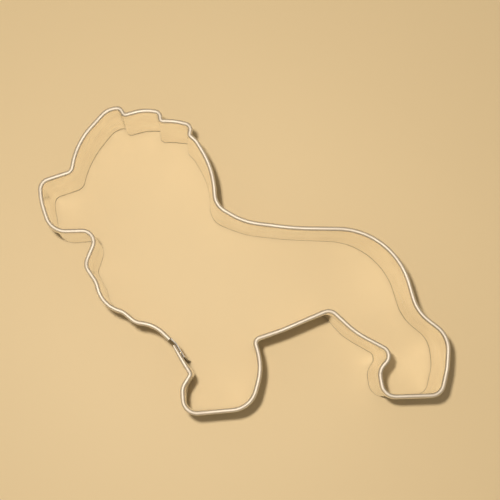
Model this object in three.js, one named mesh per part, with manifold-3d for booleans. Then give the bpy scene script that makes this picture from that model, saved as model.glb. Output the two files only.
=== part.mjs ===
// Lion cookie cutter: one hemmed steel strip bent to the outline of a lion, its ends lapped and spot welded.
// Millimetres, +Z up from the cutting edge to the hem. From above, the lion faces -X with its paws at -Y.
import * as THREE from 'three';
import { mergeVertices } from 'three/addons/utils/BufferGeometryUtils.js';
import Module from 'manifold-3d';

const wasm = await Module();
wasm.setup();

// Outline: nose to haunch and crown to paws, between the corners that lie furthest apart
const outlineLength = 86.45;
const outlineHeight = 67.8;

// Strip: thin sheet standing on edge
const wallHeight = 20;
const sheetThickness = 0.3;

// Hem: the top of the strip folded outwards and down, with an open fold
const hemGap = 0.4;
const hemDepth = 2.6;
const hemWidth = 2 * sheetThickness + hemGap;
const foldRadius = hemWidth / 2;

// Lap: the unhemmed end of the strip lies inside its other end, a faying gap away
const lapLength = 4;
const lapStart = 1.7;
const fayingGap = 0.1;
const tabDrop = 0.8;
const hemToLap = 1.7;

// Spot welds, one above the other in the middle of the lap
const weldDiameter = 2.2;
const weldPitch = 5.5;
const weldNames = ['spot_weld_lower', 'spot_weld_middle', 'spot_weld_upper'];

// Facets of bends, folds and welds
const chordError = 0.03;
const largestStep = THREE.MathUtils.degToRad(15);
const foldFacets = 2;
const weldFacets = 24;
const hollowClearance = 0.2;
const shortestStep = 0.02;

// Outline of the biscuit, which is the inner face of the strip, counter-clockwise from above.
// Each row is one bend: the x and y where the runs on its two sides would meet, and its radius.
const bends = {
  frontKnee: [-12.7, -25.75, 1.2],
  frontInstep: [-14.85, -28.7, 3],
  frontToe: [-14.85, -33.8, 2.6],
  frontHeel: [-1.05, -33.6, 5.2],
  foreleg: [1.8, -25.3, 12],
  elbow: [0.6, -18.9, 1.7],
  belly: [7, -17.3, 30],
  groin: [18.5, -13.35, 2.8],
  thigh: [23.9, -19.15, 20],
  hock: [32.4, -24.45, 2.6],
  hindInstep: [28.45, -28.25, 2.6],
  hindToe: [28.9, -33.4, 2.6],
  hindHeel: [40.7, -33.95, 2.4],
  shank: [42.45, -28.6, 15],
  haunch: [43.45, -21.95, 5.5],
  tailRoot: [37, -16.15, 10],
  rump: [33.4, 2.25, 15.8],
  loin: [12.1, 4.05, 60],
  withers: [0.6, 6.3, 16],
  nape: [-5.7, 10.7, 5],
  neck: [-5.7, 19.3, 19],
  maneBack: [-8.85, 25.4, 4],
  lowLockNotch: [-10.4, 27, 1.2],
  lowLockTip: [-9.9, 29, 0.8],
  lowLock: [-12.7, 30.05, 12],
  midLockNotch: [-16.6, 30.3, 1.2],
  midLockTip: [-16.55, 32.35, 0.8],
  midLock: [-19.3, 33.1, 9],
  topLockNotch: [-24.3, 32.05, 1.2],
  topLockTip: [-25.15, 33.8, 0.7],
  crown: [-27.3, 33.85, 4],
  maneFront: [-34.5, 26.8, 16],
  brow: [-36, 20.3, 2.2],
  nose: [-43, 18.5, 1.9],
  muzzle: [-43, 14.8, 14],
  chin: [-41.3, 8.15, 4],
  throat: [-30.3, 7.65, 3],
  ruffTip: [-34.2, -0.25, 2.2],
  ruffHollow: [-32.05, -3.95, 6],
  ruff: [-31.05, -8.85, 6.2],
  chestNotch: [-26.8, -10.7, 4],
  chestStep: [-24.25, -13.15, 3],
  breast: [-20.2, -13.95, 8.5],
  shoulder: [-17, -17.5, 4],
};

const spread = (places) => Math.max(...places) - Math.min(...places);
const drawnLength = spread(Object.values(bends).map(([x]) => x));
const drawnHeight = spread(Object.values(bends).map(([, y]) => y));

// A longer or higher outline moves the corners apart and keeps the radii
function corner([x, y, radius]) {
  const at = new THREE.Vector2(x * outlineLength / drawnLength, y * outlineHeight / drawnHeight);
  return { at, radius };
}

const unit = (from, to) => to.clone().sub(from).normalize();
const leftOf = (direction) => new THREE.Vector2(-direction.y, direction.x);

// Seam: the strip starts below the shoulder, and its far end runs past that start on the inside
function seam(corners) {
  const knee = corners[0].at;
  const breast = corners.at(-2).at;
  const shoulder = corners.at(-1);
  const chestRun = unit(breast, shoulder.at);
  const legRun = unit(shoulder.at, knee);
  const inward = leftOf(legRun);
  const inset = sheetThickness + fayingGap;
  const beyond = inset / chestRun.dot(inward);
  const start = shoulder.at.clone().addScaledVector(legRun, lapStart);
  const end = start.clone().addScaledVector(legRun, lapLength).addScaledVector(inward, inset);
  const tabBend = shoulder.at.clone().addScaledVector(chestRun, beyond);
  return { start, end, tabBend, radius: shoulder.radius, legRun, inward };
}

// Turn and reach of each bend. A hollow bend clears the hem outside it, and a short run limits its bends.
function fitBends(corners) {
  const runs = corners.slice(1).map((next, i) => next.at.clone().sub(corners[i].at));
  const turns = corners.map((_, i) => {
    if (i === 0 || i === corners.length - 1) return 0;
    return Math.atan2(runs[i - 1].cross(runs[i]), runs[i - 1].dot(runs[i]));
  });
  const reach = corners.map(({ radius }, i) => {
    const least = turns[i] < 0 ? hemWidth + hollowClearance : 0;
    return Math.max(radius, least) * Math.tan(Math.abs(turns[i]) / 2);
  });
  const fit = corners.map((_, i) => {
    const before = i > 0 ? runs[i - 1].length() / (reach[i - 1] + reach[i]) : 1;
    const after = i < runs.length ? runs[i].length() / (reach[i] + reach[i + 1]) : 1;
    return reach[i] * Math.min(1, before, after);
  });
  return corners.map(({ at }, i) => ({ at, turn: turns[i], reach: fit[i] }));
}

// Stations along the strip: points with their direction, close together on bends
function stationsAlong(corners) {
  const stations = [];
  const add = (point, direction) => {
    const at = new THREE.Vector3(point.x, point.y, 0);
    const last = stations.at(-1);
    if (last && last.at.distanceTo(at) < shortestStep) return;
    stations.push({ at, direction: new THREE.Vector3(direction.x, direction.y, 0) });
  };
  const fitted = fitBends(corners);
  add(fitted[0].at, unit(fitted[0].at, fitted[1].at));
  fitted.slice(1, -1).forEach(({ at, turn, reach }, i) => {
    const direction = unit(fitted[i].at, at);
    const radius = reach / Math.tan(Math.abs(turn) / 2);
    const first = at.clone().addScaledVector(direction, -reach);
    const centre = first.clone().addScaledVector(leftOf(direction), Math.sign(turn) * radius);
    const finest = 2 * Math.acos(Math.max(0, 1 - chordError / radius));
    const steps = Math.ceil(Math.abs(turn) / Math.min(finest, largestStep));
    for (let step = 0; step <= steps; step++) {
      const angle = turn * step / steps;
      const turned = direction.clone().rotateAround(new THREE.Vector2(), angle);
      add(first.clone().rotateAround(centre, angle), turned);
    }
  });
  const [before, end] = fitted.slice(-2);
  add(end.at, unit(before.at, end.at));
  return stations;
}

// Cuts the stations in two at a length measured back from the end of the strip
function cutBack(stations, length) {
  let left = length;
  for (let i = stations.length - 1; i > 0; i--) {
    const step = stations[i].at.distanceTo(stations[i - 1].at);
    if (step > left) {
      const share = left / step;
      const at = stations[i].at.clone().lerp(stations[i - 1].at, share);
      const direction = stations[i].direction.clone().lerp(stations[i - 1].direction, share).normalize();
      const cut = { at, direction };
      return [[...stations.slice(0, i), cut], [cut, ...stations.slice(i)]];
    }
    left -= step;
  }
  throw new Error('the strip is shorter than its tab');
}

// A curve that visits the stations in turn, each at an equal share of the curve's parameter
class StripPath extends THREE.Curve {
  constructor(stations) {
    super();
    this.stations = stations;
  }

  station(share) {
    return this.stations[Math.round(share * (this.stations.length - 1))];
  }

  getPointAt(share, target = new THREE.Vector3()) {
    return target.copy(this.station(share).at);
  }

  getTangentAt(share, target = new THREE.Vector3()) {
    return target.copy(this.station(share).direction);
  }
}

// Sections lie across the path: x is depth below it, y is distance to its left, the inside of the outline
function wallSection(height) {
  const section = new THREE.Shape();
  section.moveTo(0, 0);
  section.lineTo(0, -sheetThickness);
  section.lineTo(-height, -sheetThickness);
  section.lineTo(-height, 0);
  section.closePath();
  return section;
}

function hemmedSection() {
  const section = new THREE.Shape();
  const foldHeight = wallHeight - foldRadius;
  const lipHeight = wallHeight - hemDepth;
  const up = Math.PI;
  const inside = up / 2;
  section.moveTo(0, 0);
  section.lineTo(0, -sheetThickness);
  section.lineTo(-foldHeight, -sheetThickness);
  section.absarc(-foldHeight, -foldRadius, hemGap / 2, inside, inside + up, false);
  section.lineTo(-lipHeight, sheetThickness - hemWidth);
  section.lineTo(-lipHeight, -hemWidth);
  section.lineTo(-foldHeight, -hemWidth);
  section.absarc(-foldHeight, -foldRadius, foldRadius, inside + up, inside, true);
  section.closePath();
  return section;
}

function sweep(section, stations) {
  return new THREE.ExtrudeGeometry(section, {
    steps: stations.length - 1,
    extrudePath: new StripPath(stations),
    curveSegments: foldFacets,
  });
}

function toSolid(geometry) {
  geometry.deleteAttribute('normal');
  geometry.deleteAttribute('uv');
  const merged = mergeVertices(geometry);
  const vertProperties = merged.attributes.position.array;
  const triVerts = new Uint32Array(merged.index.array);
  return new wasm.Manifold(new wasm.Mesh({ numProp: 3, vertProperties, triVerts }));
}

function toGeometry(solid) {
  const { numProp, vertProperties, triVerts } = solid.getMesh();
  const geometry = new THREE.BufferGeometry();
  geometry.setAttribute('position', new THREE.BufferAttribute(vertProperties, numProp));
  geometry.setIndex(new THREE.BufferAttribute(triVerts, 1));
  geometry.computeVertexNormals();
  return geometry;
}

const corners = Object.values(bends).map(corner);
const { start, end, tabBend, radius, legRun, inward } = seam(corners);
const stations = stationsAlong([
  { at: start, radius: 0 },
  ...corners.slice(0, -1),
  { at: tabBend, radius },
  { at: end, radius: 0 },
]);

// Band: hemmed along its length, with a plain tab at its far end
function cutterBand() {
  const [hemmedRun, tabRun] = cutBack(stations, lapLength + hemToLap);
  const hemmed = toSolid(sweep(hemmedSection(), hemmedRun));
  const tab = toSolid(sweep(wallSection(wallHeight - tabDrop), tabRun));
  const steel = new THREE.MeshStandardMaterial({ color: 0xd8d5cd, metalness: 1, roughness: 0.2 });
  const mesh = new THREE.Mesh(toGeometry(hemmed.add(tab)), steel);
  mesh.name = 'cutter_band';
  return mesh;
}

// Weld: the nugget where it bridges the gap between the tab and the wall
function spotWeld(name, height) {
  const nugget = new THREE.CylinderGeometry(weldDiameter / 2, weldDiameter / 2, fayingGap, weldFacets);
  const fused = new THREE.MeshStandardMaterial({ color: 0x8f8a83, metalness: 1, roughness: 0.5 });
  const mesh = new THREE.Mesh(nugget, fused);
  const onWall = start.clone().addScaledVector(legRun, lapLength / 2);
  const middle = onWall.addScaledVector(inward, fayingGap / 2);
  mesh.name = name;
  mesh.position.set(middle.x, middle.y, height);
  mesh.rotation.z = legRun.angle();
  return mesh;
}

const cutter = new THREE.Group();
const band = cutterBand();
cutter.add(band);
const lowestWeld = (wallHeight - tabDrop) / 2 - weldPitch * (weldNames.length - 1) / 2;
weldNames.forEach((name, i) => cutter.add(spotWeld(name, lowestWeld + i * weldPitch)));

// The origin is on the table, under the middle of the outline
band.geometry.computeBoundingBox();
const footprint = band.geometry.boundingBox.getCenter(new THREE.Vector3());
cutter.position.set(-footprint.x, -footprint.y, 0);

export default cutter;
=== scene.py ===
import math

import bmesh
import bpy
from mathutils import Matrix, Vector


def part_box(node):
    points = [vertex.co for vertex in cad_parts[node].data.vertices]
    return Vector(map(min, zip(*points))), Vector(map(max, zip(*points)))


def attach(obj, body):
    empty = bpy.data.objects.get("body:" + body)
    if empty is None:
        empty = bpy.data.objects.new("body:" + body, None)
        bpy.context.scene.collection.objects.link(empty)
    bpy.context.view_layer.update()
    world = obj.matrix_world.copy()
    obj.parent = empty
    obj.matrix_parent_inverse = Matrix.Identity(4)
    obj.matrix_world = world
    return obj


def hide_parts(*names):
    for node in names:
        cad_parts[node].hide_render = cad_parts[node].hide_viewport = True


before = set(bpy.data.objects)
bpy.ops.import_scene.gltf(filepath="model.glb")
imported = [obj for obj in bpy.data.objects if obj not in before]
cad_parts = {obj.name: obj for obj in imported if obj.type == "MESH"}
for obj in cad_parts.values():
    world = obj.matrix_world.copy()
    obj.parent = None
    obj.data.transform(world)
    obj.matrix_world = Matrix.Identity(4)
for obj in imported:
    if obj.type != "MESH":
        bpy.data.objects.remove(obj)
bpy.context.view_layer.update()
mm = 0.001
upward = Vector((0, 0, 1))
tiny = 1e-4  # mm, tells section points apart
sharpAngle = math.radians(40)  # edges sharper than this stay hard
print("frame loaded:", len(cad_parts), "nodes")

# Sizes in millimetres, as on the cutter's drawing
strip = {
    "height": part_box("cutter_band")[1].z / mm,
    "sheet": 0.3,
    "hemGap": 0.4,  # open space inside the fold
    "hemDepth": 2.6,  # rim down to the folded lip's sheared edge
    "hollowRoom": 0.2,  # a hollow bend clears the hem outside it by this
    "edgeRound": 0.07,  # sheared edges, a little rounded
    "edgeParts": 3,
    "foldParts": 16,
    "gapParts": 8,
    "wallParts": 9,
    "ringSpacing": 1.2,
    "tabSpacing": 0.25,
    "bendStep": math.radians(6),
    "bow": 0.07,  # oil-canning of the flat wall
    "bowWave": 29.0,  # length of its waves along the strip
    "trueEnds": 14.0,  # the jig holds the strip true this far from the seam
    "tightRadius": 2.0,  # bends this tight mark the tin fully
    "bendSpread": 3,  # rings on each side that share a bend's marks
    "lipLift": 0.3,  # the lip draws up where an outward bend stretches it
    "lipBulge": 0.1,  # and crowds outwards in a hollow
    "hemStray": 0.05,  # the lip wanders in and out along the strip
    "edgeTilt": 0.5,  # a low face whose normal is this upright is a sheared edge
}

# The lap at the chest, in millimetres and shares
lap = {
    "start": 1.7,  # below the shoulder's corner
    "length": 4.0,
    "gap": 0.1,
    "drop": 0.8,  # the tab ends below the rim
    "hemStop": 1.7,  # the hem stops this far before the lap
    "peel": 0.6,  # the tab's free end springs inwards at its foot
    "peelFrom": 0.7,  # share of the lap that the welds hold flat
    "slant": 1.2,  # the end is snipped askew, longer at its foot
    "slantFoot": 0.5,  # share of the slant that lies past the square end
    "pinch": 0.4,  # the hem is nipped narrower where it begins
    "pinchLength": 4.5,
    "creep": 0.1,  # the darkening reaches this share of the lap beyond it
}

# Corners of the biscuit on the strip's inner face, counter-clockwise from above: x, y, bend radius,
# and how far hand bending lets the foot stray outwards from under the rim
outline = {
    "frontKnee": (-12.7, -25.75, 1.2, -0.3),
    "frontInstep": (-14.85, -28.7, 3, -0.35),
    "frontToe": (-14.85, -33.8, 2.6, 0.35),
    "frontHeel": (-1.05, -33.6, 5.2, 0.75),
    "foreleg": (1.8, -25.3, 12, 0.85),
    "elbow": (0.6, -18.9, 1.7, 0.4),
    "belly": (7, -17.3, 30, 0.1),
    "groin": (18.5, -13.35, 2.8, 0.2),
    "thigh": (23.9, -19.15, 20, 0.75),
    "hock": (32.4, -24.45, 2.6, 0.95),
    "hindInstep": (28.45, -28.25, 2.6, 0.4),
    "hindToe": (28.9, -33.4, 2.6, 0.45),
    "hindHeel": (40.7, -33.95, 2.4, 0.55),
    "shank": (42.45, -28.6, 15, 0.6),
    "haunch": (43.45, -21.95, 5.5, -0.1),
    "tailRoot": (37, -16.15, 10, 0.1),
    "rump": (33.4, 2.25, 15.8, -0.2),
    "loin": (12.1, 4.05, 60, 0.2),
    "withers": (0.6, 6.3, 16, 0.1),
    "nape": (-5.7, 10.7, 5, -0.6),
    "neck": (-5.7, 19.3, 19, -0.35),
    "maneBack": (-8.85, 25.4, 4, -0.35),
    "lowLockNotch": (-10.4, 27, 1.2, -0.2),
    "lowLockTip": (-9.9, 29, 0.8, 0),
    "lowLock": (-12.7, 30.05, 12, -0.3),
    "midLockNotch": (-16.6, 30.3, 1.2, -0.35),
    "midLockTip": (-16.55, 32.35, 0.8, 0.25),
    "midLock": (-19.3, 33.1, 9, 0.05),
    "topLockNotch": (-24.3, 32.05, 1.2, 0),
    "topLockTip": (-25.15, 33.8, 0.7, 0.15),
    "crown": (-27.3, 33.85, 4, -0.05),
    "maneFront": (-34.5, 26.8, 16, -0.5),
    "brow": (-36, 20.3, 2.2, -0.2),
    "nose": (-43, 18.5, 1.9, -0.3),
    "muzzle": (-43, 14.8, 14, -0.2),
    "chin": (-41.3, 8.15, 4, 0.55),
    "throat": (-30.3, 7.65, 3, 0.1),
    "ruffTip": (-34.2, -0.25, 2.2, -0.35),
    "ruffHollow": (-32.05, -3.95, 6, -0.1),
    "ruff": (-31.05, -8.85, 6.2, 0),
    "chestNotch": (-26.8, -10.7, 4, 0),
    "chestStep": (-24.25, -13.15, 3, 0),
    "breast": (-20.2, -13.95, 8.5, 0),
    "shoulder": (-17, -17.5, 4, 0),
}
hemWidth = 2 * strip["sheet"] + strip["hemGap"]
foldUp = strip["height"] - hemWidth / 2  # where the fold over the rim begins
lipEnd = strip["height"] - strip["hemDepth"]
tabTop = strip["height"] - lap["drop"]


def flat(x, y):
    return Vector((x, y, 0))


def leftOf(heading):
    return flat(-heading.y, heading.x)


# The strip's corners from end to end, and how it runs at the lap
def seamPlaces():
    corners = [flat(x, y) for x, y, radius, lean in outline.values()]
    knee, breast, shoulder = corners[0], corners[-2], corners[-1]
    chestRun = (shoulder - breast).normalized()
    legRun = (knee - shoulder).normalized()
    inward = leftOf(legRun)
    inset = strip["sheet"] + lap["gap"]
    start = shoulder + legRun * lap["start"]
    end = start + legRun * lap["length"] + inward * inset
    tabBend = shoulder + chestRun * (inset / chestRun.dot(inward))
    return {"points": [start, *corners[:-1], tabBend, end], "legRun": legRun, "inward": inward}


seam = seamPlaces()


# Straight runs and bends in the order that the strip is bent
def stripRoute():
    points = seam["points"]
    radii = [0, *[radius for x, y, radius, lean in outline.values()], 0]
    leans = [0, *[lean for x, y, radius, lean in outline.values()], 0]
    runs = [after - before for before, after in zip(points, points[1:])]
    turns = [0]
    for before, after in zip(runs, runs[1:]):
        turns.append(math.atan2(before.cross(after).z, before.dot(after)))
    turns.append(0)
    reach = []
    for radius, turn in zip(radii, turns):
        least = hemWidth + strip["hollowRoom"] if turn < 0 else 0
        reach.append(max(radius, least) * math.tan(abs(turn) / 2))
    fitted = []
    for i, length in enumerate(reach):
        before = runs[i - 1].length / (reach[i - 1] + length) if i > 0 else 1
        after = runs[i].length / (length + reach[i + 1]) if i < len(runs) else 1
        fitted.append(length * min(1, before, after))
    route = []
    for i, run in enumerate(runs):
        heading = run.normalized()
        straight = run.length - fitted[i] - fitted[i + 1]
        if straight > tiny:
            route.append({"length": straight, "turn": 0, "centre": None, "radius": math.inf, "lean": 0})
        turn = turns[i + 1]
        if turn:
            radius = fitted[i + 1] / math.tan(abs(turn) / 2)
            bendStart = points[i + 1] - heading * fitted[i + 1]
            centre = bendStart + leftOf(heading) * math.copysign(radius, turn)
            bend = {"length": abs(turn) * radius, "turn": turn, "centre": centre, "radius": radius}
            route.append({**bend, "lean": leans[i + 1]})
    return route


# Splits the run or bend that holds a place along the strip
def splitRoute(route, place):
    done = 0
    split = []
    for stretch in route:
        share = (place - done) / stretch["length"]
        shares = (share, 1 - share) if 0 < share < 1 else (1,)
        for part in shares:
            split.append({**stretch, "length": stretch["length"] * part, "turn": stretch["turn"] * part})
        done += stretch["length"]
    return split


# Section drawing: a point is pulled along straight lines and spun round folds, x outwards and z up
def pullPoint(bm, point, out, height, parts=1):
    here = point.co.copy()
    there = Vector((out, 0, height))
    for part in range(parts):
        point = bmesh.ops.extrude_vert_indiv(bm, verts=[point])["verts"][0]
        point.co = here.lerp(there, (part + 1) / parts)
    return point


def turnPoint(bm, point, out, height, degrees, parts):
    made = bmesh.ops.spin(
        bm, geom=[point], cent=(out, 0, height), axis=(0, 1, 0), angle=math.radians(degrees), steps=parts
    )
    return [item for item in made["geom_last"] if isinstance(item, bmesh.types.BMVert)][0]


# Turns a drawn profile into a round solid or dish
def spinFull(bm, facets):
    profile = list(bm.verts) + list(bm.edges)
    bmesh.ops.spin(
        bm, geom=profile, cent=(0, 0, 0), axis=upward, angle=math.tau, steps=facets, use_merge=True
    )
    bmesh.ops.remove_doubles(bm, verts=bm.verts, dist=tiny)
    bmesh.ops.recalc_face_normals(bm, faces=bm.faces)


def drawSection(bm):
    sheet, edge = strip["sheet"], strip["edgeRound"]
    edgeParts, wallParts = strip["edgeParts"], strip["wallParts"]
    point = bm.verts.new((0, 0, edge))
    point = pullPoint(bm, point, 0, 2 * edge)
    point = pullPoint(bm, point, 0, tabTop, wallParts)  # inner face
    point = pullPoint(bm, point, 0, foldUp)
    point = turnPoint(bm, point, hemWidth / 2, foldUp, 180, strip["foldParts"])  # over the rim
    point = pullPoint(bm, point, hemWidth, lipEnd + 2 * edge)
    point = pullPoint(bm, point, hemWidth, lipEnd + edge)
    point = turnPoint(bm, point, hemWidth - edge, lipEnd + edge, 90, edgeParts)
    point = pullPoint(bm, point, hemWidth - sheet + edge, lipEnd)  # sheared lip
    point = turnPoint(bm, point, hemWidth - sheet + edge, lipEnd + edge, 90, edgeParts)
    point = pullPoint(bm, point, hemWidth - sheet, lipEnd + 2 * edge)
    point = pullPoint(bm, point, hemWidth - sheet, foldUp)
    point = turnPoint(bm, point, hemWidth / 2, foldUp, -180, strip["gapParts"])  # inside the fold
    point = pullPoint(bm, point, sheet, tabTop)
    point = pullPoint(bm, point, sheet, 2 * edge, wallParts)  # outer face
    point = pullPoint(bm, point, sheet, edge)
    point = turnPoint(bm, point, sheet - edge, edge, 90, edgeParts)
    point = pullPoint(bm, point, edge, 0)  # cutting edge
    turnPoint(bm, point, edge, edge, 90, edgeParts)
    bmesh.ops.remove_doubles(bm, verts=bm.verts, dist=tiny)


# Marks each section point: distance round the section, share of the way down the lip, reach into the
# hem, and the wall's inner (-1) or outer (1) face
def markSection(bm, marks):
    girth = 0
    last = list(bm.verts)[0].co
    for point in bm.verts:
        out, up = point.co.x, point.co.z
        girth += (point.co - last).length
        last = point.co
        onLip = out > hemWidth / 2 and up < foldUp
        onHem = up > lipEnd - tiny
        onWall = up < foldUp + tiny
        isOuter = abs(out - strip["sheet"]) < tiny
        isInner = abs(out) < tiny
        point[marks["strip"]] = Vector((0, girth, 0))
        point[marks["lip"]] = (foldUp - up) / (foldUp - lipEnd) if onLip else 0
        point[marks["hem"]] = max(0, out - strip["sheet"]) if onHem else 0
        point[marks["side"]] = onWall * (isOuter - isInner)


# Each point of a ring once, in the ring's order
def ringVerts(ring):
    return list(dict.fromkeys(vert for edge in ring for vert in edge.verts))


def pullRing(bm, ring, travel):
    made = bmesh.ops.extrude_edge_only(bm, edges=ring)["geom"]
    verts = [item for item in made if isinstance(item, bmesh.types.BMVert)]
    bmesh.ops.translate(bm, verts=verts, vec=travel)
    return [item for item in made if isinstance(item, bmesh.types.BMEdge) and item.is_boundary]


def turnRing(bm, ring, centre, angle):
    made = bmesh.ops.spin(bm, geom=ringVerts(ring) + ring, cent=centre, axis=upward, angle=angle, steps=1)
    return [item for item in made["geom_last"] if isinstance(item, bmesh.types.BMEdge)]


# Closes the hem's end and leaves the ring of the plain tab
def endHem(bm, ring, place):
    tops = [vert for vert in ringVerts(ring) if abs(vert.co.z - tabTop) < tiny]
    inner, outer = sorted(vert[place].y for vert in tops)
    across = bm.edges.new(tops)
    hem = [edge for edge in ring if all(inner - tiny < vert[place].y < outer + tiny for vert in edge.verts)]
    bmesh.ops.contextual_create(bm, geom=[*hem, across])
    return [edge for edge in ring if edge not in hem] + [across]


# Bare steel shows where the sheet was sheared: strip ends, cutting edge, lip and the tab's top
def markSheared(bm, sheared):
    for face in bm.faces:
        isEnd = len(face.verts) > 4
        isEdge = abs(face.normal.z) > strip["edgeTilt"] and face.calc_center_median().z < tabTop + tiny
        face[sheared] = 1.0 if isEnd or isEdge else 0.0


def eased(share):
    share = min(1, max(0, share))
    return share * share * (3 - 2 * share)


# Places along the strip where the foot's lean is known: none at the lap, and one mid bend
def leanPlaces(route):
    along = 0
    places = [(lap["length"], 0)]
    for stretch in route:
        if stretch["turn"]:
            places.append((along + stretch["length"] / 2, stretch["lean"]))
        along += stretch["length"]
    return places


def leanAt(places, along):
    lean = 0
    for (before, near), (after, far) in zip(places, places[1:]):
        lean += (far - near) * eased((along - before) / (after - before))
    return lean


# The middle of the wall bows in and out, but not near the seam
def bowAt(along, length):
    calm = eased(min(along, length - along) / strip["trueEnds"])
    return calm * strip["bow"] * math.cos(math.tau * along / strip["bowWave"])


# What hand bending does: the foot leans, the wall bows, the lip strays and the tab's end springs
def bendByHand(rings, places, length, marks):
    lip, hem, side = marks["lip"], marks["hem"], marks["side"]
    spread = strip["bendSpread"]
    for i, ring in enumerate(rings):
        along, heading = ring["along"], ring["heading"]
        near = [other["tight"] for other in rings[max(0, i - spread):i + spread + 1]]
        tight = sum(near) / len(near)
        lean, bow = leanAt(places, along), bowAt(along, length)
        stray = strip["hemStray"] * math.sin(math.tau * along / strip["bowWave"])
        stray += strip["lipBulge"] * max(0, -tight)
        pinch = lap["pinch"] * max(0, 1 - along / lap["pinchLength"]) ** 2
        onLap = 1 + (along - length) / lap["length"]
        peel = lap["peel"] * max(0, (onLap - lap["peelFrom"]) / (1 - lap["peelFrom"])) ** 2
        slant = lap["slant"] * max(0, onLap) ** 2
        # Faces between the lap's sheets, which the tinplate makes darker and rougher
        darkOutside = onLap > -lap["creep"]
        darkInside = along < lap["length"] - strip["ringSpacing"]
        for vert in ring["verts"]:
            share = vert.co.z / strip["height"]
            outwards = lean * (1 - share) + bow * 4 * share * (1 - share) - peel * (1 - share) ** 2
            outwards += vert[lip] * stray - vert[hem] * pinch
            vert.co += heading * slant * (lap["slantFoot"] - share) - leftOf(heading) * outwards
            vert.co.z += vert[lip] * strip["lipLift"] * max(0, tight)
            inLap = darkOutside if vert[side] > 0 else darkInside
            vert[marks["darkInLap"]] = 1 if vert[side] and inLap else 0
            vert[marks["bent"]] = abs(tight)


def bendStrip():
    bm = bmesh.new()
    marks = {"strip": bm.verts.layers.float_vector.new("strip")}
    for name in ("lip", "hem", "side", "darkInLap", "bent"):
        marks[name] = bm.verts.layers.float.new(name)
    sheared = bm.faces.layers.float.new("sheared")
    place = marks["strip"]
    drawSection(bm)
    markSection(bm, marks)
    heading = seam["legRun"].copy()
    turned = math.atan2(heading.y, heading.x) - math.pi / 2  # the section is drawn for travel along +Y
    bm.transform(Matrix.Translation(seam["points"][0]) @ Matrix.Rotation(turned, 4, "Z"))
    route = stripRoute()
    length = sum(stretch["length"] for stretch in route)
    hemEnd = length - lap["length"] - lap["hemStop"]
    ring = list(bm.edges)
    bmesh.ops.contextual_create(bm, geom=ring)
    along = 0
    rings = [{"verts": ringVerts(ring), "heading": heading.copy(), "along": along, "tight": 0}]
    for stretch in splitRoute(route, hemEnd):
        turn = stretch["turn"]
        tight = math.copysign(min(1, strip["tightRadius"] / stretch["radius"]), turn)
        spacing = strip["ringSpacing"] if along < hemEnd - tiny else strip["tabSpacing"]
        parts = math.ceil(max(stretch["length"] / spacing, abs(turn) / strip["bendStep"]))
        for part in range(parts):
            if turn:
                ring = turnRing(bm, ring, stretch["centre"], turn / parts)
                heading.rotate(Matrix.Rotation(turn / parts, 3, "Z"))
            else:
                ring = pullRing(bm, ring, heading * (stretch["length"] / parts))
            along += stretch["length"] / parts
            verts = ringVerts(ring)
            for vert in verts:
                vert[place] = Vector((along, vert[place].y, 0))
            rings.append({"verts": verts, "heading": heading.copy(), "along": along, "tight": tight})
        if abs(along - hemEnd) < tiny:
            ring = endHem(bm, ring, place)
    bmesh.ops.contextual_create(bm, geom=ring)
    bmesh.ops.recalc_face_normals(bm, faces=bm.faces)
    markSheared(bm, sheared)
    bendByHand(rings, leanPlaces(route), length, marks)
    bmesh.ops.scale(bm, vec=(mm, mm, mm), verts=bm.verts)
    print("strip bent:", len(rings), "rings,", len(bm.faces), "faces,", round(length, 1), "mm long")
    return bm


# Colours are sRGB hex values, turned to linear for Blender
def linear(hexColour):
    shades = [int(hexColour[i:i + 2], 16) / 255 for i in (1, 3, 5)]
    return [s / 12.92 if s <= 0.04045 else ((s + 0.055) / 1.055) ** 2.4 for s in shades] + [1.0]


def grey(level):
    return [level, level, level, 1.0]


def addNode(tree, kind, settings=None, inputs=None, ramp=()):
    node = tree.nodes.new(kind)
    for name, value in (settings or {}).items():
        setattr(node, name, value)
    for socket, value in (inputs or {}).items():
        if isinstance(value, bpy.types.NodeSocket):
            tree.links.new(value, node.inputs[socket])
        else:
            node.inputs[socket].default_value = value
    for i, (position, colour) in enumerate(ramp):
        stops = node.color_ramp.elements
        stop = stops[i] if i < 2 else stops.new(position)
        stop.position = position
        stop.color = colour
    return node


def newMaterial(name):
    material = bpy.data.materials.new(name)
    material.use_nodes = True
    material.node_tree.nodes.clear()
    return material, material.node_tree


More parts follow.
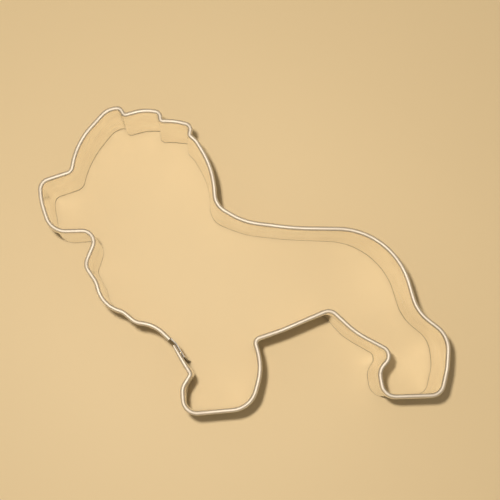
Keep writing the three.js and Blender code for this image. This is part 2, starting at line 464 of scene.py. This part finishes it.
# Lengths in millimetres, levels from 0 to 1
tin = {
    "bright": "#F6F3EC",
    "dull": "#ECE7DE",  # where it is handled
    "scuffed": "#E3DACB",  # the rim, which wear has turned to satin
    "bareSteel": "#A8A39B",
    # dark colour of the stain mask: tarnish, painted contact shadow, painted shade at the lip, darker lap
    # faces
    "tarnishAndShade": "#54463A",
    "roughness": 0.12,
    "grainRoughness": 0.08,  # spread of the roughness across the grain
    "rimRoughness": 0.5,  # this and the next five are added where they apply
    "handledRoughness": 0.07,
    "bentRoughness": 0.05,
    "scratchRoughness": 0.2,
    "stainAndShadeRoughness": 0.15,
    "shearedRoughness": 0.4,
    "rimDepth": 0.9,
    "grainWidth": 0.35,  # real rolling grain is finer, drawn coarse enough to show
    "grainLength": 16.0,
    "grainBump": 0.12,
    "grainHeight": 0.02,
    "smudge": 6.0,
    "handled": (0.42, 0.72),  # smudge levels where handling begins to show and is full
    "scratchWidth": 0.16,
    "scratchLength": 9.0,
    "scratchAngles": (8, -19, 47),  # degrees from the strip's length
    "scratchLevels": (0.7, 0.76),
    "scratchBump": 0.15,
    "scratchDepth": 0.01,
    # Darker band at the foot: partly tarnish on the sheared edge, partly painted contact shadow at the floor
    "tarnishShadeHeight": 1.1,
    "tarnishShadeWander": 1.2,
    "tarnishShadeFull": 0.4,  # share of its height that is fully dark
    "lipShadeLevel": 0.7,
    "underLipShadowDepth": 1.3,  # painted shadow on the outer wall below the lip
    "lipEdgeShadeFrom": 0.88,  # and painted shade on the lip from this share of the way down
    "heatBlue": "#A3A6AE",
    "heatStraw": "#DCCBA4",
    "heatReach": 2.2,
    "heatBands": (0.5, 0.7),  # shares of the reach where blue ends and straw begins
    "heatLevel": 0.9,
    "heatFade": 0.55,  # share of the reach where it begins to fade
}


# Heat rings round the welds: how strong they are at a place, and their colour
def heatRings(tree, where):
    lower, middle = [sum(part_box("spot_weld_" + level), Vector()) / 2 for level in ("lower", "middle")]
    pitch = middle.z - lower.z
    offset = addNode(
        tree, "ShaderNodeVectorMath", {"operation": "SUBTRACT"}, {0: where, 1: middle}
    ).outputs[0]
    along = addNode(
        tree, "ShaderNodeVectorMath", {"operation": "DOT_PRODUCT"}, {0: offset, 1: seam["legRun"]}
    ).outputs["Value"]
    across = addNode(
        tree, "ShaderNodeVectorMath", {"operation": "DOT_PRODUCT"}, {0: offset, 1: seam["inward"]}
    ).outputs["Value"]
    height = addNode(tree, "ShaderNodeSeparateXYZ", inputs={"Vector": offset}).outputs["Z"]
    steps = addNode(tree, "ShaderNodeMath", {"operation": "DIVIDE"}, {0: height, 1: pitch}).outputs[0]
    nearest = addNode(tree, "ShaderNodeMath", {"operation": "ROUND"}, {0: steps}).outputs[0]
    nearest = addNode(tree, "ShaderNodeClamp", inputs={"Value": nearest, "Min": -1, "Max": 1}).outputs[0]
    above = addNode(
        tree, "ShaderNodeMath", {"operation": "MULTIPLY_ADD"}, {0: nearest, 1: -pitch, 2: height}
    ).outputs[0]
    spot = addNode(tree, "ShaderNodeCombineXYZ", inputs={"X": along, "Y": across, "Z": above}).outputs[0]
    distance = addNode(tree, "ShaderNodeVectorMath", {"operation": "LENGTH"}, {0: spot}).outputs["Value"]
    share = addNode(
        tree, "ShaderNodeMath", {"operation": "DIVIDE"}, {0: distance, 1: tin["heatReach"] * mm}
    ).outputs[0]
    fade = ((tin["heatFade"], grey(tin["heatLevel"])), (1.0, grey(0)))
    strength = addNode(tree, "ShaderNodeValToRGB", inputs={"Fac": share}, ramp=fade).outputs["Color"]
    bands = zip(tin["heatBands"], (linear(tin["heatBlue"]), linear(tin["heatStraw"])))
    colour = addNode(tree, "ShaderNodeValToRGB", inputs={"Fac": share}, ramp=bands).outputs["Color"]
    return strength, colour


# Fine scratches at a few slants to the strip
def scratchLines(tree, place):
    scale = (1 / tin["scratchLength"], 1 / tin["scratchWidth"], 1)
    levels = tuple(zip(tin["scratchLevels"], (grey(0), grey(1))))
    scratches = None
    for angle in tin["scratchAngles"]:
        slanted = addNode(
            tree, "ShaderNodeMapping", inputs={"Vector": place, "Rotation": (0, 0, math.radians(angle))}
        ).outputs[0]
        drawn = addNode(tree, "ShaderNodeMapping", inputs={"Vector": slanted, "Scale": scale}).outputs[0]
        streak = addNode(
            tree, "ShaderNodeTexNoise", inputs={"Vector": drawn, "Scale": 1, "Detail": 1}
        ).outputs["Fac"]
        line = addNode(tree, "ShaderNodeValToRGB", inputs={"Fac": streak}, ramp=levels).outputs["Color"]
        if scratches:
            line = addNode(
                tree, "ShaderNodeMath", {"operation": "MAXIMUM"}, {0: scratches, 1: line}
            ).outputs[0]
        scratches = line
    return scratches


# Foot tarnish with painted contact shadow, painted shade below and on the lip, and darker faces in the lap
def stainsAndPaintedShade(tree, smudge, height):
    # Foot band of tarnish and painted contact shadow, its top wandering with the smudge noise
    wander = addNode(
        tree,
        "ShaderNodeMath",
        {"operation": "MULTIPLY_ADD"},
        {0: smudge, 1: tin["tarnishShadeWander"] * mm, 2: height},
    ).outputs[0]
    footTop = (tin["tarnishShadeHeight"] + tin["tarnishShadeWander"] / 2) * mm
    stainAndShade = addNode(
        tree,
        "ShaderNodeMapRange",
        inputs={
            "Value": wander,
            "From Min": tin["tarnishShadeFull"] * footTop,
            "From Max": footTop,
            "To Min": 1,
            "To Max": 0,
        },
    ).outputs[0]
    # Painted shadow on the outer wall just below the lip
    below = addNode(
        tree,
        "ShaderNodeMapRange",
        inputs={
            "Value": height,
            "From Min": (lipEnd - tin["underLipShadowDepth"]) * mm,
            "From Max": lipEnd * mm,
            "To Max": tin["lipShadeLevel"],
        },
    ).outputs[0]
    side = addNode(tree, "ShaderNodeAttribute", {"attribute_name": "side"}).outputs["Fac"]
    below = addNode(tree, "ShaderNodeMath", {"operation": "MULTIPLY"}, {0: below, 1: side}).outputs[0]
    # Painted shade on the lip's lower part, down to its sheared edge
    lip = addNode(tree, "ShaderNodeAttribute", {"attribute_name": "lip"}).outputs["Fac"]
    edge = addNode(
        tree,
        "ShaderNodeMapRange",
        inputs={"Value": lip, "From Min": tin["lipEdgeShadeFrom"], "From Max": 1, "To Max": tin["lipShadeLevel"]},
    ).outputs[0]
    darkInLap = addNode(tree, "ShaderNodeAttribute", {"attribute_name": "darkInLap"}).outputs["Fac"]
    for darkMark in (below, edge, darkInLap):
        stainAndShade = addNode(tree, "ShaderNodeMath", {"operation": "MAXIMUM"}, {0: stainAndShade, 1: darkMark}).outputs[0]
    return stainAndShade


# Cold-rolled tinplate: mirror-bright tin with rolling grain along the strip, dulled where it is
# handled and bent
def tinplate():
    material, tree = newMaterial("tinplate_cold_rolled")
    place = addNode(tree, "ShaderNodeAttribute", {"attribute_name": "strip"}).outputs["Vector"]
    sheared = addNode(tree, "ShaderNodeAttribute", {"attribute_name": "sheared"}).outputs["Fac"]
    bent = addNode(tree, "ShaderNodeAttribute", {"attribute_name": "bent"}).outputs["Fac"]
    where = addNode(tree, "ShaderNodeTexCoord").outputs["Object"]
    height = addNode(tree, "ShaderNodeSeparateXYZ", inputs={"Vector": where}).outputs["Z"]
    grainScale = (1 / tin["grainLength"], 1 / tin["grainWidth"], 1)
    grainPlace = addNode(tree, "ShaderNodeMapping", inputs={"Vector": place, "Scale": grainScale}).outputs[0]
    grain = addNode(
        tree, "ShaderNodeTexNoise", inputs={"Vector": grainPlace, "Scale": 1, "Detail": 4, "Roughness": 0.6}
    ).outputs["Fac"]
    smudge = addNode(
        tree,
        "ShaderNodeTexNoise",
        inputs={"Vector": where, "Scale": 1 / (tin["smudge"] * mm), "Detail": 5, "Roughness": 0.55},
    ).outputs["Fac"]
    levels = zip(tin["handled"], (grey(0), grey(1)))
    handled = addNode(tree, "ShaderNodeValToRGB", inputs={"Fac": smudge}, ramp=levels).outputs["Color"]
    rim = addNode(
        tree,
        "ShaderNodeMapRange",
        inputs={
            "Value": height,
            "From Min": (strip["height"] - tin["rimDepth"]) * mm,
            "From Max": strip["height"] * mm,
        },
    ).outputs[0]
    scratches = scratchLines(tree, place)
    stainAndShade = stainsAndPaintedShade(tree, smudge, height)
    heat, tint = heatRings(tree, where)
    colour = linear(tin["bright"])
    # Tarnish with painted shadow and shade at the foot and lip, and the lap's darkening, share one dark
    # colour
    for cause, shade in (
        (handled, linear(tin["dull"])),
        (stainAndShade, linear(tin["tarnishAndShade"])),
        (heat, tint),
        (rim, linear(tin["scuffed"])),
        (sheared, linear(tin["bareSteel"])),
    ):
        colour = addNode(
            tree, "ShaderNodeMix", {"data_type": "RGBA"}, {0: cause, 6: colour, 7: shade}
        ).outputs[2]
    spread = tin["grainRoughness"]
    rough = addNode(
        tree,
        "ShaderNodeMath",
        {"operation": "MULTIPLY_ADD"},
        {0: grain, 1: spread, 2: tin["roughness"] - spread / 2},
    ).outputs[0]
    for cause, amount in (
        (rim, tin["rimRoughness"]),
        (handled, tin["handledRoughness"]),
        (bent, tin["bentRoughness"]),
        (scratches, tin["scratchRoughness"]),
        (stainAndShade, tin["stainAndShadeRoughness"]),
        (sheared, tin["shearedRoughness"]),
    ):
        rough = addNode(
            tree, "ShaderNodeMath", {"operation": "MULTIPLY_ADD"}, {0: cause, 1: amount, 2: rough}
        ).outputs[0]
    relief = addNode(
        tree,
        "ShaderNodeBump",
        inputs={"Strength": tin["grainBump"], "Distance": tin["grainHeight"] * mm, "Height": grain},
    ).outputs[0]
    relief = addNode(
        tree,
        "ShaderNodeBump",
        {"invert": True},
        {
            "Strength": tin["scratchBump"],
            "Distance": tin["scratchDepth"] * mm,
            "Height": scratches,
            "Normal": relief,
        },
    ).outputs[0]
    shader = addNode(
        tree,
        "ShaderNodeBsdfPrincipled",
        inputs={"Base Color": colour, "Metallic": 1.0, "Roughness": rough, "Normal": relief},
    ).outputs[0]
    addNode(tree, "ShaderNodeOutputMaterial", inputs={"Surface": shader})
    return material


# Puts a finished mesh in the scene in place of its CAD node
def addPiece(bm, name, node, material):
    mesh = bpy.data.meshes.new(name)
    bm.to_mesh(mesh)
    bm.free()
    mesh.materials.append(material)
    mesh.shade_smooth()
    mesh.set_sharp_from_angle(angle=sharpAngle)
    piece = bpy.data.objects.new(name, mesh)
    bpy.context.scene.collection.objects.link(piece)
    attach(piece, "root")
    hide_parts(node)
    return piece


# Centres the rim, which stays true, on the CAD strip
band = bendStrip()
rim = [vert.co for vert in band.verts if vert.co.z > foldUp * mm]
spread = [Vector(map(pick, zip(*rim))) for pick in (min, max)]
shift = (sum(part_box("cutter_band"), Vector()) - sum(spread, Vector())) / 2
shift.z = 0
bmesh.ops.translate(band, verts=band.verts, vec=shift)
bandPiece = addPiece(band, "cutter_strip", "cutter_band", tinplate())
weighted = bandPiece.modifiers.new("evenShading", "WEIGHTED_NORMAL")
weighted.keep_sharp = True
print("strip shifted by", [round(s / mm, 4) for s in shift], "mm")

# Lengths in millimetres, shares and levels from 0 to 1
weld = {
    "levels": ("lower", "middle", "upper"),
    "diameter": 2.2,
    "facets": 40,
    "dish": 0.012,
    "dishEdge": 0.55,  # of the radius
    "ring": 0.035,  # metal squeezed up round the electrode
    "ringInner": 0.68,
    "ringOuter": 0.78,
    "skirt": 0.92,
    "skirtHeight": 0.3,  # of the ring's height
    "colours": ("#A5A19A", "#848A97", "#BFAA80"),  # fused grey, blue and straw
    "colourPlaces": (0.5, 0.8, 0.95),  # of the radius
    "mottle": 0.4,
    "mottleShift": 0.3,
    "roughness": 0.28,
    "mottleRoughness": 0.25,  # added
    "mottleBump": 0.3,
    "mottleHeight": 0.02,
}


# Spot weld: a nugget through both sheets, with a shallow electrode dish and a raised ring on each face
def weldNugget(node):
    low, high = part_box(node)
    middle = (low + high) / 2 / mm
    face = lap["gap"] / 2 + strip["sheet"]
    radius = weld["diameter"] / 2
    half = [
        (0, face + weld["dish"]),
        (weld["dishEdge"] * radius, face + weld["dish"]),
        (weld["ringInner"] * radius, face + weld["ring"]),
        (weld["ringOuter"] * radius, face + weld["ring"]),
        (weld["skirt"] * radius, face + weld["skirtHeight"] * weld["ring"]),
        (radius, face - weld["ring"]),
    ]
    bm = bmesh.new()
    point = bm.verts.new((half[0][0], 0, half[0][1]))
    for out, height in half[1:] + [(out, -height) for out, height in reversed(half)]:
        point = pullPoint(bm, point, out, height)
    spinFull(bm, weld["facets"])
    turned = seam["inward"].to_track_quat("Z", "Y").to_matrix().to_4x4()
    bm.transform(Matrix.Translation(middle) @ turned)
    bmesh.ops.scale(bm, vec=(mm, mm, mm), verts=bm.verts)
    return bm, middle * mm


# Fused steel: dull where the electrodes pressed, with straw and blue heat rings
def weldSteel(name, middle):
    material, tree = newMaterial(name)
    where = addNode(tree, "ShaderNodeTexCoord").outputs["Object"]
    centred = addNode(tree, "ShaderNodeMapping", inputs={"Vector": where, "Location": -middle}).outputs[0]
    distance = addNode(tree, "ShaderNodeVectorMath", {"operation": "LENGTH"}, {0: centred}).outputs["Value"]
    share = addNode(
        tree, "ShaderNodeMath", {"operation": "DIVIDE"}, {0: distance, 1: weld["diameter"] / 2 * mm}
    ).outputs[0]
    mottle = addNode(
        tree, "ShaderNodeTexNoise", inputs={"Vector": where, "Scale": 1 / (weld["mottle"] * mm), "Detail": 4}
    ).outputs["Fac"]
    uneven = addNode(
        tree, "ShaderNodeMath", {"operation": "MULTIPLY_ADD"}, {0: mottle, 1: weld["mottleShift"], 2: share}
    ).outputs[0]
    bands = zip(weld["colourPlaces"], map(linear, weld["colours"]))
    colour = addNode(tree, "ShaderNodeValToRGB", inputs={"Fac": uneven}, ramp=bands).outputs["Color"]
    rough = addNode(
        tree,
        "ShaderNodeMath",
        {"operation": "MULTIPLY_ADD"},
        {0: mottle, 1: weld["mottleRoughness"], 2: weld["roughness"]},
    ).outputs[0]
    relief = addNode(
        tree,
        "ShaderNodeBump",
        inputs={"Strength": weld["mottleBump"], "Distance": weld["mottleHeight"] * mm, "Height": mottle},
    ).outputs[0]
    shader = addNode(
        tree,
        "ShaderNodeBsdfPrincipled",
        inputs={"Base Color": colour, "Metallic": 1.0, "Roughness": rough, "Normal": relief},
    ).outputs[0]
    addNode(tree, "ShaderNodeOutputMaterial", inputs={"Surface": shader})
    return material


for level in weld["levels"]:
    nugget, spot = weldNugget("spot_weld_" + level)
    finish = weldSteel("weld_steel_" + level, spot)
    addPiece(nugget, "weld_nugget_" + level, "spot_weld_" + level, finish)
print("welds made")

stage = {
    "floor": "#E8D0A2",
    "floorRoughness": 0.6,
    "floorRadius": 1.0,  # metres
    "coveRadius": 0.6,  # the floor sweeps up all round, so no horizon shows
    "coveRise": 70,  # degrees
    "coveParts": 14,
    "coveFacets": 96,
    "glow": 0.62,  # keeps the floor pale beyond the key light's reach
    "glowFrom": 0.05,  # metres from the cutter's middle
    "glowFull": 0.4,
    "gap": 0.02,  # mm under the cutting edge
    "fibre": 2.5,  # mm
    "fibreBump": 0.05,
    "fibreHeight": 0.05,  # mm
    "fill": "#FFF3E2",
    "zenith": 0.34,
    "horizon": 0.12,
    "softbox": (0.5, 0.8),  # sine of the elevation where the overhead light begins and is full
    "keyPlace": (-26.5, -3.5, 281),  # mm
    "keySize": 12,  # mm
    "keyPower": 0.55,  # watts
    "keyColour": "#FFF7EC",
}


# Pale card, a little uneven, that keeps its shade where the key light thins out
def floorCard():
    material, tree = newMaterial("floor_pale_card")
    where = addNode(tree, "ShaderNodeTexCoord").outputs["Object"]
    fibre = addNode(
        tree, "ShaderNodeTexNoise", inputs={"Vector": where, "Scale": 1 / (stage["fibre"] * mm), "Detail": 3}
    ).outputs["Fac"]
    relief = addNode(
        tree,
        "ShaderNodeBump",
        inputs={"Strength": stage["fibreBump"], "Distance": stage["fibreHeight"] * mm, "Height": fibre},
    ).outputs[0]
    away = addNode(tree, "ShaderNodeVectorMath", {"operation": "LENGTH"}, {0: where}).outputs["Value"]
    glow = addNode(
        tree,
        "ShaderNodeMapRange",
        {"interpolation_type": "SMOOTHSTEP"},
        {
            "Value": away,
            "From Min": stage["glowFrom"],
            "From Max": stage["glowFull"],
            "To Max": stage["glow"],
        },
    ).outputs[0]
    rays = addNode(tree, "ShaderNodeLightPath").outputs
    seen = rays["Is Camera Ray"]
    for kind in ("Is Glossy Ray", "Is Transmission Ray"):
        seen = addNode(tree, "ShaderNodeMath", {"operation": "MAXIMUM"}, {0: seen, 1: rays[kind]}).outputs[0]
    glow = addNode(tree, "ShaderNodeMath", {"operation": "MULTIPLY"}, {0: glow, 1: seen}).outputs[0]
    shader = addNode(
        tree,
        "ShaderNodeBsdfPrincipled",
        inputs={
            "Base Color": linear(stage["floor"]),
            "Roughness": stage["floorRoughness"],
            "Normal": relief,
            "Emission Color": linear(stage["floor"]),
            "Emission Strength": glow,
        },
    ).outputs[0]
    addNode(tree, "ShaderNodeOutputMaterial", inputs={"Surface": shader})
    return material


def addFloor():
    bm = bmesh.new()
    reach, sweep = stage["floorRadius"], stage["coveRadius"]
    point = pullPoint(bm, bm.verts.new((0, 0, 0)), reach, 0)
    turnPoint(bm, point, reach, sweep, -stage["coveRise"], stage["coveParts"])
    spinFull(bm, stage["coveFacets"])
    bmesh.ops.translate(bm, verts=bm.verts, vec=(0, 0, -stage["gap"] * mm))
    mesh = bpy.data.meshes.new("floor")
    bm.to_mesh(mesh)
    bm.free()
    mesh.shade_smooth()
    mesh.materials.append(floorCard())
    floor = bpy.data.objects.new("floor", mesh)
    bpy.context.scene.collection.objects.link(floor)


# Soft overhead light, dimmer towards the horizon
def addWorld():
    world = bpy.data.worlds.new("studio")
    world.use_nodes = True
    tree = world.node_tree
    tree.nodes.clear()
    direction = addNode(tree, "ShaderNodeTexCoord").outputs["Generated"]
    height = addNode(tree, "ShaderNodeSeparateXYZ", inputs={"Vector": direction}).outputs["Z"]
    level = addNode(
        tree,
        "ShaderNodeMapRange",
        {"interpolation_type": "SMOOTHSTEP"},
        {
            "Value": height,
            "From Min": stage["softbox"][0],
            "From Max": stage["softbox"][1],
            "To Min": stage["horizon"],
            "To Max": stage["zenith"],
        },
    ).outputs[0]
    light = addNode(
        tree, "ShaderNodeBackground", inputs={"Color": linear(stage["fill"]), "Strength": level}
    ).outputs[0]
    addNode(tree, "ShaderNodeOutputWorld", inputs={"Surface": light})
    bpy.context.scene.world = world


# Key light a little way up and left of the camera, so shadows fall to the lower right
def addKey():
    lamp = bpy.data.lights.new("key", "AREA")
    lamp.shape = "DISK"
    lamp.size = stage["keySize"] * mm
    lamp.energy = stage["keyPower"]
    lamp.color = linear(stage["keyColour"])[:3]
    key = bpy.data.objects.new("key", lamp)
    key.location = Vector(stage["keyPlace"]) * mm
    key.rotation_euler = key.location.to_track_quat("Z", "Y").to_euler()
    key.visible_camera = False
    bpy.context.scene.collection.objects.link(key)


picture = {
    "eye": (-9.28, -27.25, 268.14),  # mm
    "aim": (2.51, 2.67, 0),
    "heading": -4.14,  # degrees, the picture's right in plan
    "focalPixels": 1134,
    "framePixels": 500,
    "nearest": 0.01,  # metres
}


def addCamera():
    data = bpy.data.cameras.new("camera")
    data.lens = data.sensor_width * picture["focalPixels"] / picture["framePixels"]
    data.clip_start = picture["nearest"]
    eye = Vector(picture["eye"]) * mm
    back = (eye - Vector(picture["aim"]) * mm).normalized()
    level = math.radians(picture["heading"])
    above = back.cross(flat(math.cos(level), math.sin(level))).normalized()
    axes = Matrix((above.cross(back), above, back)).transposed()
    camera = bpy.data.objects.new("camera", data)
    camera.matrix_world = Matrix.Translation(eye) @ axes.to_4x4()
    bpy.context.scene.collection.objects.link(camera)
    bpy.context.scene.camera = camera


addFloor()
addWorld()
addKey()
addCamera()
bpy.context.scene.view_settings.view_transform = "Standard"
print("floor, light and camera set")
